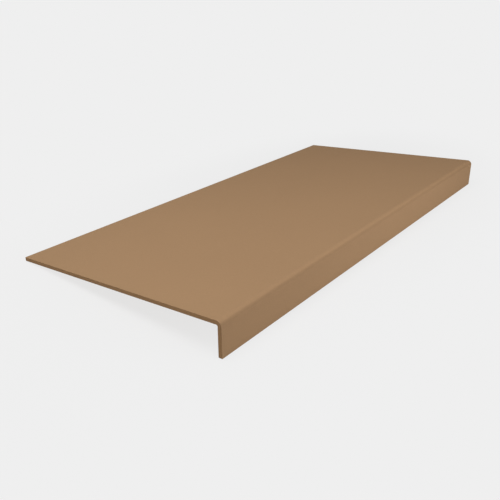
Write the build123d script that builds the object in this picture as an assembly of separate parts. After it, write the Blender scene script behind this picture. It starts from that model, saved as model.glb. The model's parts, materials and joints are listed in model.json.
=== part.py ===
from build123d import *
import math
import os

# Rubber stair tread with a square nose. It is one moulded piece of plain rubber
# with an L for its section: a thin flat plate that is glued on the step, and a
# nose at its front that turns down over the step's edge.
# X runs along the step, -Y is the nose's side, Z is up, and sizes are millimetres.

# Driving dimensions
tread_length = 635.0  # along the step
tread_depth = 305.0  # from the front of the nose to the back edge
nose_height = 40.0  # from the top face down to the nose's tip
plate_thickness = 4.8  # of the flat plate
nose_thickness = 4.8  # of the nose
nose_undercut = 4.0  # degrees by which the nose turns in past square, to grip the step
bend_inner_radius = 1.6  # in the hollow where the step's edge sits
bend_outer_radius = 6.4  # over the front edge, where the foot lands
edge_radius = 0.4  # on every free edge


def along_nose(start, distance):
    """The point that lies a distance down the nose from the start."""
    turn = math.radians(nose_undercut)
    return Vector(start.X, start.Y + distance * math.sin(turn), start.Z - distance * math.cos(turn))


def through_nose(start, distance):
    """The point that lies a distance inwards through the nose's wall."""
    turn = math.radians(nose_undercut)
    return Vector(start.X, start.Y + distance * math.cos(turn), start.Z + distance * math.sin(turn))


# Corners of the section as moulded, with the top face level at Z = 0
turn = math.radians(nose_undercut)
front_corner = Vector(0, 0, 0)
back_top = Vector(0, tread_depth, 0)
back_bottom = Vector(0, tread_depth, -plate_thickness)
tip_outer = along_nose(front_corner, nose_height / math.cos(turn))
tip_inner = through_nose(tip_outer, nose_thickness)
inner_drop = (plate_thickness + nose_thickness * math.sin(turn)) / math.cos(turn)
hollow_corner = along_nose(through_nose(front_corner, nose_thickness), inner_drop)


def section_edge_at(solid, corner):
    """The long edge of the solid that passes nearest to a corner of the section."""
    return solid.edges().filter_by(Axis.X).sort_by_distance(corner)[0]


def moulded_tread():
    """The L section run along the step, with its bends and soft edges."""
    corners = [front_corner, back_top, back_bottom, hollow_corner, tip_inner, tip_outer]
    section = make_face(Polyline(*corners, close=True))
    solid = extrude(section, amount=tread_length / 2, dir=(1, 0, 0), both=True)
    solid = fillet(section_edge_at(solid, hollow_corner), bend_inner_radius)
    solid = fillet(section_edge_at(solid, front_corner), bend_outer_radius)
    free_corners = [back_top, back_bottom, tip_inner, tip_outer]
    free_edges = [section_edge_at(solid, corner) for corner in free_corners]
    end_edges = solid.faces().filter_by(Axis.X).edges()
    return fillet([*free_edges, *end_edges], edge_radius)


def rest_angle():
    """Degrees that the tread leans back when it lies on its nose's tip and its back edge."""
    back_centre = back_bottom + Vector(0, -edge_radius, edge_radius)
    outer_centre = along_nose(through_nose(tip_outer, edge_radius), -edge_radius)
    inner_centre = along_nose(through_nose(tip_inner, -edge_radius), -edge_radius)
    leans = []
    for tip_centre in (outer_centre, inner_centre):
        rise = back_centre.Z - tip_centre.Z
        run = back_centre.Y - tip_centre.Y
        leans.append(math.degrees(math.atan2(rise, run)))
    return max(leans)


def laid_down(solid):
    """The tread as it lies unheld on a level floor, with the middle of its box at the origin."""
    leaning = Rot(X=-rest_angle()) * solid
    box = leaning.bounding_box()
    middle = box.center()
    return Pos(-middle.X, -middle.Y, -box.min.Z) * leaning


tread = laid_down(moulded_tread())
os.makedirs("parts", exist_ok=True)
export_step(tread, "parts/tread.step")

size = tread.bounding_box().size
print(f"tread {size.X:.2f} x {size.Y:.2f} x {size.Z:.2f} mm, leaning back {rest_angle():.3f} degrees")
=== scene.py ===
# %% [markdown]
# A rubber stair tread is one moulded strip of plain rubber. A thin flat plate is glued on top of a
# step, and at its front a square nose turns down over the step's edge. In this lesson the tread is
# modelled and finished in Blender. Its construction comes in first as a fixed frame, in metres: X
# runs along the step, -Y is the side of the nose, and Z is up. Nothing of it may move or grow, so
# every size below is either read from the frame or is the real size of the moulding.

# %% Load the fixed frame
import json
import math
import bmesh
import bpy
from mathutils import Matrix, Vector


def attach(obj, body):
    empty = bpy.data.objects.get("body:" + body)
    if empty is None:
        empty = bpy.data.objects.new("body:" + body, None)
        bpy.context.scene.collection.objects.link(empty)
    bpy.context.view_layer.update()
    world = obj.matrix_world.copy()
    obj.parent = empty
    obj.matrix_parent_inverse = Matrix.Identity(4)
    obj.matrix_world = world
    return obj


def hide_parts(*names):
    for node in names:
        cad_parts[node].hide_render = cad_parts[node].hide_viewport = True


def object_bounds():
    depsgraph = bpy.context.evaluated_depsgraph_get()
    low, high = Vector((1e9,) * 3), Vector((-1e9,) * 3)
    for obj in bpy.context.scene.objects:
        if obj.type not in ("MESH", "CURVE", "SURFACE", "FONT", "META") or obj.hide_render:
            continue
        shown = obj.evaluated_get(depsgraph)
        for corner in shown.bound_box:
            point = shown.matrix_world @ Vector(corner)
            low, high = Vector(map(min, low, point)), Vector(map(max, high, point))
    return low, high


millimetres = 1000  # in a metre
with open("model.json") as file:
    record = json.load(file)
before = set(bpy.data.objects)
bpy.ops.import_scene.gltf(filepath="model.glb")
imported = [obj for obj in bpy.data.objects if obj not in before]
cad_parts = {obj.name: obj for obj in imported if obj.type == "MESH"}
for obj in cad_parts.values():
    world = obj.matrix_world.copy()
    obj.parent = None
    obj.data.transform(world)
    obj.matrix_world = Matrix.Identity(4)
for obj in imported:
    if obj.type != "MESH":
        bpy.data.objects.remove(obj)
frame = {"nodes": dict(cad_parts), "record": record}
cad_low, cad_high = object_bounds()
print("nodes in the frame:", sorted(frame["nodes"]))
print("box in millimetres:", [round(side * millimetres, 1) for side in cad_high - cad_low])

# %% [markdown]
# The tread lies unheld on a floor, on the tip of its nose and its back edge, so its plate leans back
# a little. The frame's record names two flat faces for the glue, with the direction that each one
# faces. The lean and the nose's own angle are read from those directions, so they can't disagree
# with the construction. What the frame doesn't say is how deep the moulding is, how tall its nose is,
# its wall and its radii, and these are written here once, at their real size.

# %% Read the angles, and name the sizes of the section
faces = {mount["name"]: Vector(mount["axis"]) for mount in frame["record"]["mounts"]}
plate_up = -faces["underside"]
nose_inwards = faces["nose_inner_face"]
lean = math.atan2(plate_up.y, plate_up.z)
undercut = lean + math.atan2(nose_inwards.z, nose_inwards.y)

tread_length = cad_high.x - cad_low.x
tread_depth = 0.305
nose_height = 0.040
wall = 0.0048
bend_radius = 0.0064
edge_radius = 0.0004
print(f"the plate leans back {math.degrees(lean):.2f} degrees")
print(f"the nose turns in {math.degrees(undercut):.2f} degrees past square")

# %% [markdown]
# A moulding with an even wall is easiest to draw as a sheet that has no thickness yet. The sheet
# starts as a grid for the plate's top face. Its front edge is then spun round the bend's axis, which
# gives a true arc, and the last edge is pulled down to the tip of the nose. A bevel on a sharp fold
# would do as well, but its arc is only round at square corners, and this nose turns past square.

# %% Draw the outer skin as an open sheet
columns = 64
plate_rows = 30
bend_steps = 18
nose_rows = 4
same_place = 1e-6  # points nearer than this are one point
fold_angle = math.radians(90) + undercut
fold_reach = bend_radius * math.tan(fold_angle / 2)
plate_flat = tread_depth - fold_reach
nose_flat = nose_height / math.cos(undercut) - fold_reach
down_the_nose = Vector((0, math.sin(undercut), -math.cos(undercut)))

skin = bmesh.new()
bmesh.ops.create_grid(skin, x_segments=columns, y_segments=plate_rows, size=0.5)
bmesh.ops.scale(skin, vec=(tread_length, plate_flat, 1), verts=skin.verts)
bmesh.ops.translate(skin, vec=(0, fold_reach + plate_flat / 2, 0), verts=skin.verts)


def along_x(edge):
    """Whether an edge runs along the tread."""
    start, end = edge.verts
    return abs(start.co.y - end.co.y) < same_place and abs(start.co.z - end.co.z) < same_place


plate_front = fold_reach + same_place
front_edges = [edge for edge in skin.edges if along_x(edge) and edge.verts[0].co.y < plate_front]
bend = bmesh.ops.spin(
    skin, geom=front_edges, cent=(0, fold_reach, -bend_radius), axis=(1, 0, 0),
    angle=fold_angle, steps=bend_steps, use_merge=False,
)
last_edges = [item for item in bend["geom_last"] if isinstance(item, bmesh.types.BMEdge)]
for _ in range(nose_rows):
    pulled = bmesh.ops.extrude_edge_only(skin, edges=last_edges)["geom"]
    moved = [item for item in pulled if isinstance(item, bmesh.types.BMVert)]
    bmesh.ops.translate(skin, vec=down_the_nose * (nose_flat / nose_rows), verts=moved)
    new_edges = [item for item in pulled if isinstance(item, bmesh.types.BMEdge)]
    last_edges = [edge for edge in new_edges if all(vert in moved for vert in edge.verts)]
bmesh.ops.remove_doubles(skin, verts=skin.verts, dist=same_place)
bmesh.ops.recalc_face_normals(skin, faces=skin.faces)
print("faces in the open sheet:", len(skin.faces))

# %% [markdown]
# Solidify gives the sheet its wall. It keeps the wall even round the bend, so the hollow behind the
# nose comes out as an arc of its own, smaller by exactly the wall. That hollow is where the edge of
# the step sits. The sheet's normals decide which way the wall grows, so they are turned to face
# outwards first. The heights at the plate's back edge then show that the wall grew downwards.

# %% Give the sheet its wall
top_face = max(skin.faces, key=lambda face: face.calc_area())
if top_face.normal.z < 0:
    bmesh.ops.reverse_faces(skin, faces=skin.faces)
bmesh.ops.solidify(skin, geom=skin.faces[:], thickness=wall)
bmesh.ops.recalc_face_normals(skin, faces=skin.faces)
back_strip = 0.001
heights = [vert.co.z for vert in skin.verts if vert.co.y > tread_depth - back_strip]
lowest, highest = min(heights) * millimetres, max(heights) * millimetres
print(f"the plate lies between {lowest:.2f} and {highest:.2f} mm")

# %% [markdown]
# No edge of a rubber moulding is a knife edge. A narrow bevel round every free edge catches a thin
# line of light, and without it the ends would look like card. The edges to soften are those where
# two faces meet at a steep angle. The small steps of the bend stay as they are.

# %% Soften the free edges
steep = math.radians(50)
free_edges = [edge for edge in skin.edges if edge.calc_face_angle(0) > steep]
bmesh.ops.bevel(
    skin, geom=free_edges, affect="EDGES", offset=edge_radius, offset_type="OFFSET",
    segments=3, profile=0.5, material=-1, clamp_overlap=True,
)
print("closed all round:", all(edge.is_manifold for edge in skin.edges))

# %% [markdown]
# The finished shape still has its plate level. It is turned by the lean and set down so that the
# middle of its box stands where the frame's box stands. The turn and the move go into the mesh
# itself, because a pattern on Object coordinates would slide if the object carried them.

# %% Lay the tread down in its place
laid_back = Matrix.Rotation(-lean, 3, "X")
bmesh.ops.rotate(skin, cent=(0, 0, 0), matrix=laid_back, verts=skin.verts)


def box_of(verts):
    """The lowest and the highest corner of some vertices."""
    low = Vector([min(vert.co[axis] for vert in verts) for axis in range(3)])
    high = Vector([max(vert.co[axis] for vert in verts) for axis in range(3)])
    return low, high


low, high = box_of(skin.verts)
to_place = (cad_low + cad_high) / 2 - (low + high) / 2
to_place.z = cad_low.z - low.z
bmesh.ops.translate(skin, vec=to_place, verts=skin.verts)
low, high = box_of(skin.verts)
misfit = max((low - cad_low).length, (high - cad_high).length)
print(f"the corners of the box are within {misfit * millimetres:.3f} mm of the frame's")

plate_forwards = laid_back @ Vector((0, -1, 0))
bend_axis = laid_back @ Vector((0, fold_reach, -bend_radius)) + to_place

mesh = bpy.data.meshes.new("rubber_tread")
skin.to_mesh(mesh)
skin.free()
tread = bpy.data.objects.new("rubber_tread", mesh)
bpy.context.scene.collection.objects.link(tread)

# %% [markdown]
# Shader nodes are easier to read when a few helpers write them. One adds a node with its settings,
# and one starts a material.

# %% Helpers for shader nodes
def add_node(tree, kind, **values):
    """A new node. A value named like one of its sockets goes there, and any other is a setting."""
    node = tree.nodes.new(kind)
    for name, value in values.items():
        socket_name = name.replace("_", " ")
        if socket_name in node.inputs:
            node.inputs[socket_name].default_value = value
        else:
            setattr(node, name, value)
    return node


def start_material(name):
    """A new material that holds only its output, with its node tree and that output."""
    material = bpy.data.materials.new(name)
    material.use_nodes = True
    tree = material.node_tree
    tree.nodes.clear()
    output = add_node(tree, "ShaderNodeOutputMaterial")
    return material, tree, output


# %% [markdown]
# Plain moulded rubber is one colour right through, but it never looks like flat paint. The pigment
# is a little uneven over a hand's width, and the mould leaves a fine matte grain. All three finishes
# of the tread share this, so it is one node group with inputs for the amounts. Where a belt or a
# knife has run over the rubber, the grain is drawn out into fine lines. Space squeezed along one
# axis, before the noise reads it, does just that, so the squeeze is an input too. The two scales
# below are counts in a metre: one for the clouds of pigment, and one for its fine specks.

# %% The rubber's colour and grain, as a node group
cloud_scale = 7.0
speck_scale = 600.0
speck_share = 0.7
noise_middle = 0.5
gloss_change = 0.18


def rubber_group():
    """Uneven pigment and moulded grain, for every finish of the same rubber."""
    group = bpy.data.node_groups.new("Rubber pigment and grain", "ShaderNodeTree")
    sockets = group.interface
    sockets.new_socket("Vector", in_out="INPUT", socket_type="NodeSocketVector")
    sockets.new_socket("Tone", in_out="INPUT", socket_type="NodeSocketColor")
    sockets.new_socket("Unevenness", in_out="INPUT", socket_type="NodeSocketFloat")
    sockets.new_socket("Grain Size", in_out="INPUT", socket_type="NodeSocketFloat")
    sockets.new_socket("Squeeze", in_out="INPUT", socket_type="NodeSocketVector")
    sockets.new_socket("Base Roughness", in_out="INPUT", socket_type="NodeSocketFloat")
    sockets.new_socket("Color", in_out="OUTPUT", socket_type="NodeSocketColor")
    sockets.new_socket("Roughness", in_out="OUTPUT", socket_type="NodeSocketFloat")
    sockets.new_socket("Height", in_out="OUTPUT", socket_type="NodeSocketFloat")
    entry = add_node(group, "NodeGroupInput")
    leave = add_node(group, "NodeGroupOutput")
    link = group.links.new

    clouds = add_node(group, "ShaderNodeTexNoise", Scale=cloud_scale, Detail=3.0, Roughness=0.55)
    link(entry.outputs["Vector"], clouds.inputs["Vector"])
    squeezed = add_node(group, "ShaderNodeVectorMath", operation="MULTIPLY")
    link(entry.outputs["Vector"], squeezed.inputs[0])
    link(entry.outputs["Squeeze"], squeezed.inputs[1])
    specks = add_node(group, "ShaderNodeTexNoise", Scale=speck_scale, Detail=2.0, Roughness=0.6)
    link(squeezed.outputs["Vector"], specks.inputs["Vector"])

    both = add_node(group, "ShaderNodeMix", data_type="FLOAT", Factor=speck_share)
    link(clouds.outputs["Fac"], both.inputs["A"])
    link(specks.outputs["Fac"], both.inputs["B"])
    centred = add_node(group, "ShaderNodeMath", operation="SUBTRACT")
    centred.inputs[1].default_value = noise_middle
    link(both.outputs["Result"], centred.inputs[0])
    amount = add_node(group, "ShaderNodeMath", operation="MULTIPLY_ADD")
    amount.inputs[2].default_value = 1.0
    link(centred.outputs["Value"], amount.inputs[0])
    link(entry.outputs["Unevenness"], amount.inputs[1])
    shaded = add_node(group, "ShaderNodeVectorMath", operation="SCALE")
    link(entry.outputs["Tone"], shaded.inputs[0])
    link(amount.outputs["Value"], shaded.inputs["Scale"])
    link(shaded.outputs["Vector"], leave.inputs["Color"])

    pitch = add_node(group, "ShaderNodeMath", operation="DIVIDE")
    pitch.inputs[0].default_value = 1.0
    link(entry.outputs["Grain Size"], pitch.inputs[1])
    grain = add_node(group, "ShaderNodeTexNoise", Detail=3.0, Roughness=0.6)
    link(squeezed.outputs["Vector"], grain.inputs["Vector"])
    link(pitch.outputs["Value"], grain.inputs["Scale"])
    link(grain.outputs["Fac"], leave.inputs["Height"])

    matte = add_node(group, "ShaderNodeMath", operation="MULTIPLY_ADD")
    matte.inputs[1].default_value = gloss_change
    link(centred.outputs["Value"], matte.inputs[0])
    link(entry.outputs["Base Roughness"], matte.inputs[2])
    link(matte.outputs["Value"], leave.inputs["Roughness"])
    return group


pigment = rubber_group()
print("sockets of the group:", [item.name for item in pigment.interface.items_tree])

# %% [markdown]
# A band round the bend, a shade darker than the skin round it, is painted shade: it takes back
# some of the light that the lamps put on the bend, and draws a thin dark line just below its crest.
# One dot product finds its place. The reach of a point from the bend's axis in some direction is
# greatest, and equal to the radius, where the skin faces that way. So a map range just under the
# radius picks out a thin band round the bend, straight from end to end.

# %% Painted shade along the bend
# The band of painted shade: which way it faces, how wide it is and how much darker it makes the skin.
shade_band_facing = math.radians(62)
shade_band_half_width = math.radians(21)
painted_shade_depth = 0.085
shade_band_direction = plate_up * math.cos(shade_band_facing) + plate_forwards * math.sin(shade_band_facing)
shade_band_width = 2 * shade_band_half_width * bend_radius
print(f"the band of painted shade fades out over {shade_band_width * millimetres:.1f} mm of the bend")


def painted_shade_band(tree, coordinates, color):
    """The colour with a band of painted shade in it, where the skin faces forwards and a little up."""
    link = tree.links.new
    from_axis = add_node(tree, "ShaderNodeVectorMath", operation="SUBTRACT")
    from_axis.inputs[1].default_value = bend_axis
    reach = add_node(tree, "ShaderNodeVectorMath", operation="DOT_PRODUCT")
    reach.inputs[1].default_value = shade_band_direction
    shade = add_node(tree, "ShaderNodeMapRange", interpolation_type="SMOOTHSTEP")
    shade.inputs["From Min"].default_value = bend_radius * math.cos(shade_band_half_width)
    shade.inputs["From Max"].default_value = bend_radius
    shade.inputs["To Min"].default_value = 1.0
    shade.inputs["To Max"].default_value = 1 - painted_shade_depth
    shaded = add_node(tree, "ShaderNodeVectorMath", operation="SCALE")
    link(coordinates, from_axis.inputs[0])
    link(from_axis.outputs["Vector"], reach.inputs[0])
    link(reach.outputs["Value"], shade.inputs["Value"])
    link(color, shaded.inputs[0])
    link(shade.outputs["Result"], shaded.inputs["Scale"])
    return shaded.outputs["Vector"]


# %% [markdown]
# The moulded skin and the glue side have the same tan brown. The skin is smooth and matte, with
# almost no gloss, so that the sky's reflection hardly veils the far end. The glue side is buffed at
# the factory, so that adhesive holds, and the belt leaves fine lines along the tread. The two ends
# are cut across by one stroke of a knife, which leaves upright lines and a duller face, and the ends
# have a darker tone.

# %% Three finishes of one rubber
rubber_tone = (0.383, 0.236, 0.128, 1)
cut_tone = (0.308, 0.179, 0.088, 1)
low_gloss = 0.05
bump_strength = 0.6
even_grain = (1, 1, 1)
belt_lines = (0.03, 1, 1)
knife_lines = (1, 1, 0.05)


def rubber_material(name, tone, squeeze, unevenness, grain_size, roughness, relief, with_shade_band=False):
    """A rubber finish. Grain size and relief, the height of its grain, are in metres."""
    material, tree, output = start_material(name)
    shader = add_node(tree, "ShaderNodeBsdfPrincipled")
    shader.inputs["Specular IOR Level"].default_value = low_gloss
    place = add_node(tree, "ShaderNodeTexCoord")
    rubber = add_node(tree, "ShaderNodeGroup", node_tree=pigment)
    rubber.inputs["Tone"].default_value = tone
    rubber.inputs["Unevenness"].default_value = unevenness
    rubber.inputs["Grain Size"].default_value = grain_size
    rubber.inputs["Squeeze"].default_value = squeeze
    rubber.inputs["Base Roughness"].default_value = roughness
    bump = add_node(tree, "ShaderNodeBump", Strength=bump_strength, Distance=relief)
    link = tree.links.new
    link(place.outputs["Object"], rubber.inputs["Vector"])
    color = rubber.outputs["Color"]
    # Where asked, a band of painted shade darkens the colour round the bend.
    if with_shade_band:
        color = painted_shade_band(tree, place.outputs["Object"], color)
    link(color, shader.inputs["Base Color"])
    link(rubber.outputs["Roughness"], shader.inputs["Roughness"])
    link(rubber.outputs["Height"], bump.inputs["Height"])
    link(bump.outputs["Normal"], shader.inputs["Normal"])
    link(shader.outputs["BSDF"], output.inputs["Surface"])
    return material


# The moulded skin carries the band of painted shade round its bend.
moulded = rubber_material(
    "moulded_skin", rubber_tone, even_grain,
    unevenness=0.22, grain_size=0.0013, roughness=0.80, relief=0.00015, with_shade_band=True,
)
buffed = rubber_material(
    "buffed_glue_side", rubber_tone, belt_lines,
    unevenness=0.34, grain_size=0.0012, roughness=0.88, relief=0.00030,
)
cut = rubber_material(
    "cut_end", cut_tone, knife_lines,
    unevenness=0.34, grain_size=0.0008, roughness=0.85, relief=0.00020,
)
for finish in (moulded, buffed, cut):
    mesh.materials.append(finish)
print("finishes:", [finish.name for finish in mesh.materials])

# %% [markdown]
# Each face takes its finish from the way it faces: along X it is a cut end, and towards the glue it
# is the glue side. Everything else is the moulded skin. Smooth shading with weighted normals keeps
# the flats flat and the bend round.

# %% Give each face its finish
skin_slot, glue_slot, end_slot = range(3)
squarely = 0.9  # the least cosine at which a face counts as facing some way
under_direction = faces["underside"]
for polygon in mesh.polygons:
    polygon.use_smooth = True
    to_glue = max(polygon.normal.dot(under_direction), polygon.normal.dot(nose_inwards))
    if abs(polygon.normal.x) > squarely:
        polygon.material_index = end_slot
    elif to_glue > squarely:
        polygon.material_index = glue_slot
weighted = tread.modifiers.new("even normals", "WEIGHTED_NORMAL")
weighted.weight = 80
weighted.keep_sharp = True

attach(tread, "root")
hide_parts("tread")
print("faces of the tread:", len(mesh.polygons))

# %% [markdown]
# The tread is shown on a plain pale floor, which is one large flat sheet. It lies a hair's breadth
# below the tread, so that the two never flicker through each other.

# %% Floor sheet
floor_size = 30.0
floor_gap = 0.0003
floor_mesh = bpy.data.meshes.new("floor")
floor_shape = bmesh.new()
bmesh.ops.create_grid(floor_shape, x_segments=1, y_segments=1, size=floor_size / 2)
bmesh.ops.translate(floor_shape, vec=(0, 0, cad_low.z - floor_gap), verts=floor_shape.verts)
floor_shape.to_mesh(floor_mesh)
floor_shape.free()
floor = bpy.data.objects.new("floor", floor_mesh)
bpy.context.scene.collection.objects.link(floor)
print(f"the floor is {floor_size:.0f} m wide and {floor_gap * millimetres:.1f} mm below the tread")

# %% [markdown]
# Far from the tread the floor shows its own pale colour without any shade, and near it a share of
# the real light comes in, so that the tread keeps a soft shadow. Distance is counted in half sizes
# of the tread, so the share follows its long outline. For every other ray the floor is a pale
# diffuse surface that throws light back up. It also glows a little, as a photographer's light table
# does, which keeps the tread's underside from going black. From below the floor is clear, so that
# the glue side can be looked at.

# %% Floor material
pale = 0.863
table_glow = 0.35
shade_share = 0.14
shade_full = 0.9
shade_none = 2.0
half_size = (cad_high - cad_low) / 2


def seen_directly(tree):
    """A value of 1 where the eye sees a thing directly, in a reflection or through glass."""
    path = add_node(tree, "ShaderNodeLightPath")
    first = add_node(tree, "ShaderNodeMath", operation="MAXIMUM")
    second = add_node(tree, "ShaderNodeMath", operation="MAXIMUM")
    tree.links.new(path.outputs["Is Camera Ray"], first.inputs[0])
    tree.links.new(path.outputs["Is Glossy Ray"], first.inputs[1])
    tree.links.new(first.outputs["Value"], second.inputs[0])
    tree.links.new(path.outputs["Is Transmission Ray"], second.inputs[1])
    return second.outputs["Value"]


def floor_material():
    """Pale and even where seen, with a share of real shade near the tread, and clear from below."""
    material, tree, output = start_material("pale_floor")
    link = tree.links.new
    matte = add_node(tree, "ShaderNodeBsdfDiffuse", Color=(pale, pale, pale, 1))
    glow = add_node(tree, "ShaderNodeEmission", Color=(pale, pale, pale, 1), Strength=1.0)
    place = add_node(tree, "ShaderNodeTexCoord")
    in_half_sizes = add_node(tree, "ShaderNodeVectorMath", operation="DIVIDE")
    in_half_sizes.inputs[1].default_value = (half_size.x, half_size.y, 1)
    distance = add_node(tree, "ShaderNodeVectorMath", operation="LENGTH")
    fade = add_node(tree, "ShaderNodeMapRange", interpolation_type="SMOOTHSTEP")
    fade.inputs["From Min"].default_value = shade_full
    fade.inputs["From Max"].default_value = shade_none
    fade.inputs["To Min"].default_value = 1 - shade_share
    fade.inputs["To Max"].default_value = 1.0
    seen = add_node(tree, "ShaderNodeMath", operation="MULTIPLY")
    glowing = add_node(tree, "ShaderNodeMath", operation="MAXIMUM")
    glowing.inputs[1].default_value = table_glow
    shown = add_node(tree, "ShaderNodeMixShader")
    link(place.outputs["Object"], in_half_sizes.inputs[0])
    link(in_half_sizes.outputs["Vector"], distance.inputs[0])
    link(distance.outputs["Value"], fade.inputs["Value"])
    link(fade.outputs["Result"], seen.inputs[0])
    link(seen_directly(tree), seen.inputs[1])
    link(seen.outputs["Value"], glowing.inputs[0])
    link(glowing.outputs["Value"], shown.inputs["Fac"])
    link(matte.outputs["BSDF"], shown.inputs[1])
    link(glow.outputs["Emission"], shown.inputs[2])

    below = add_node(tree, "ShaderNodeNewGeometry")
    path = add_node(tree, "ShaderNodeLightPath")
    from_below = add_node(tree, "ShaderNodeMath", operation="MULTIPLY")
    clear = add_node(tree, "ShaderNodeBsdfTransparent")
    open_below = add_node(tree, "ShaderNodeMixShader")
    link(below.outputs["Backfacing"], from_below.inputs[0])
    link(path.outputs["Is Camera Ray"], from_below.inputs[1])
    link(from_below.outputs["Value"], open_below.inputs["Fac"])
    link(shown.outputs["Shader"], open_below.inputs[1])
    link(clear.outputs["BSDF"], open_below.inputs[2])
    link(open_below.outputs["Shader"], output.inputs["Surface"])
    return material


floor_mesh.materials.append(floor_material())
print(f"shade comes in fully up to {shade_full} half sizes, and not at all from {shade_none}")

# %% [markdown]
# The light is a plain studio set. Its base is an even pale sky, which fills the shade. What the eye
# sees of that sky is as pale as the floor, so the two run into each other.

# %% Sky
sky_level = 0.24
world = bpy.data.worlds.new("studio sky")
bpy.context.scene.world = world
world.use_nodes = True
sky = world.node_tree
sky.nodes.clear()
fill = add_node(sky, "ShaderNodeBackground", Color=(1, 1, 1, 1), Strength=sky_level)
backdrop = add_node(sky, "ShaderNodeBackground", Color=(pale, pale, pale, 1), Strength=1.0)
either = add_node(sky, "ShaderNodeMixShader")
sky_out = add_node(sky, "ShaderNodeOutputWorld")
sky.links.new(seen_directly(sky), either.inputs["Fac"])
sky.links.new(fill.outputs["Background"], either.inputs[1])
sky.links.new(backdrop.outputs["Background"], either.inputs[2])
sky.links.new(either.outputs["Shader"], sky_out.inputs["Surface"])
print("strength of the sky's light:", sky_level)

# %% [markdown]
# Three soft boxes stand under that sky: one above the near end of the tread, a small one in front of
# the nose and a wide weak one overhead. The first gives the plate its slow fade towards the far end.
# The second makes the nose brightest a little past its middle, and the third adds a little even
# light from above. A lamp of pi squared watts, one metre off, lights a white surface to a value of 1,
# and a lamp that is further off needs more, by the square of the distance.

# %% Lamps
def soft_box(name, place, target, width, height, level):
    """An area lamp that gives a share, level, of plain light at the target when it faces it."""
    aim = Vector(target) - Vector(place)
    lamp = bpy.data.lights.new(name, "AREA")
    lamp.shape = "RECTANGLE"
    lamp.size = width
    lamp.size_y = height
    lamp.energy = level * math.pi**2 * aim.length_squared
    holder = bpy.data.objects.new(name, lamp)
    holder.location = place
    holder.rotation_euler = aim.to_track_quat("-Z", "Y").to_euler()
    bpy.context.scene.collection.objects.link(holder)
    print(f"{name}: {lamp.energy:.1f} W at {aim.length:.2f} m")


soft_box("near_end", place=(-0.45, 0.05, 1.0), target=(-0.2, 0, 0.03), width=0.6, height=0.6, level=0.68)
soft_box("front", place=(0.08, -0.72, 0.20), target=(0.04, -0.15, 0.02), width=0.4, height=0.3, level=0.43)
soft_box("overhead", place=(0.1, 0, 2.6), target=(0, 0, 0), width=2.4, height=2.4, level=0.12)

# %% [markdown]
# The camera stands low beyond the near end, in front of the nose, and looks along the tread, as in a
# catalogue picture. It has a normal lens, and is turned a little about its own axis.

# %% Camera
camera_place = Vector((-0.6782, -0.4506, 0.3422))
camera_target = Vector((-0.0518, 0.0193, -0.0409))
camera_roll = math.radians(1.90)
camera = bpy.data.objects.new("camera", bpy.data.cameras.new("camera"))
camera.data.sensor_width = 36.0
camera.data.lens = 44.52
camera.data.clip_start = 0.01
look = (camera_target - camera_place).to_track_quat("-Z", "Y")
turn = Matrix.Rotation(camera_roll, 4, "Z")
camera.matrix_world = Matrix.Translation(camera_place) @ look.to_matrix().to_4x4() @ turn
bpy.context.scene.collection.objects.link(camera)
bpy.context.scene.camera = camera
print(f"the camera stands {camera_place.z:.2f} m high, with a lens of {camera.data.lens:.1f} mm")

# %% [markdown]
# Colours have to look as they are written, so the view transform is Standard.

# %% Standard view transform
bpy.context.scene.view_settings.view_transform = "Standard"
